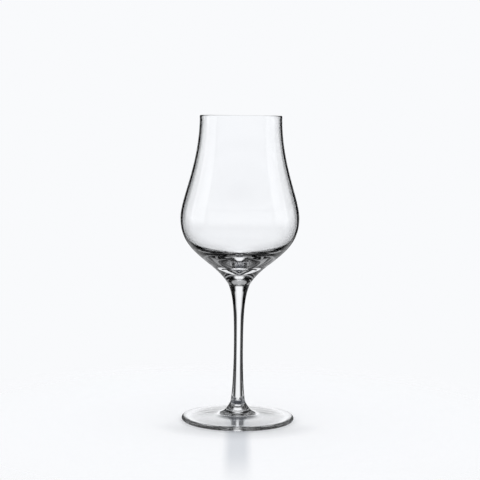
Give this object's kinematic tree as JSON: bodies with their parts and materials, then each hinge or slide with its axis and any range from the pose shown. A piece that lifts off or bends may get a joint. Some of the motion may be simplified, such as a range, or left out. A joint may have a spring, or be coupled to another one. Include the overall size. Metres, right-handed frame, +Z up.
{
  "type": "tulip brandy glass",
  "caption": "Stemmed tulip glass with a round belly drawn in to a narrow mouth, a slim drawn stem and a flat round foot, for nosing and sipping brandy.",
  "frame": {"origin": "middle of the face that the glass stands on", "axes": "+Z up along the glass's axis, from foot to rim"},
  "size_m": [0.0736, 0.0736, 0.19],
  "materials": {
    "blown_glass": "clear, fire-polished, with the faint unevenness of a blown wall",
    "drawn_glass": "clear, fire-polished, with faint draw lines along the rod",
    "pressed_glass": "clear, fire-polished, with faint rings from spinning the foot out"
  },
  "bodies": {
    "root": {"bowl": "blown_glass", "stem": "drawn_glass", "foot": "pressed_glass"}
  },
  "joints": []
}
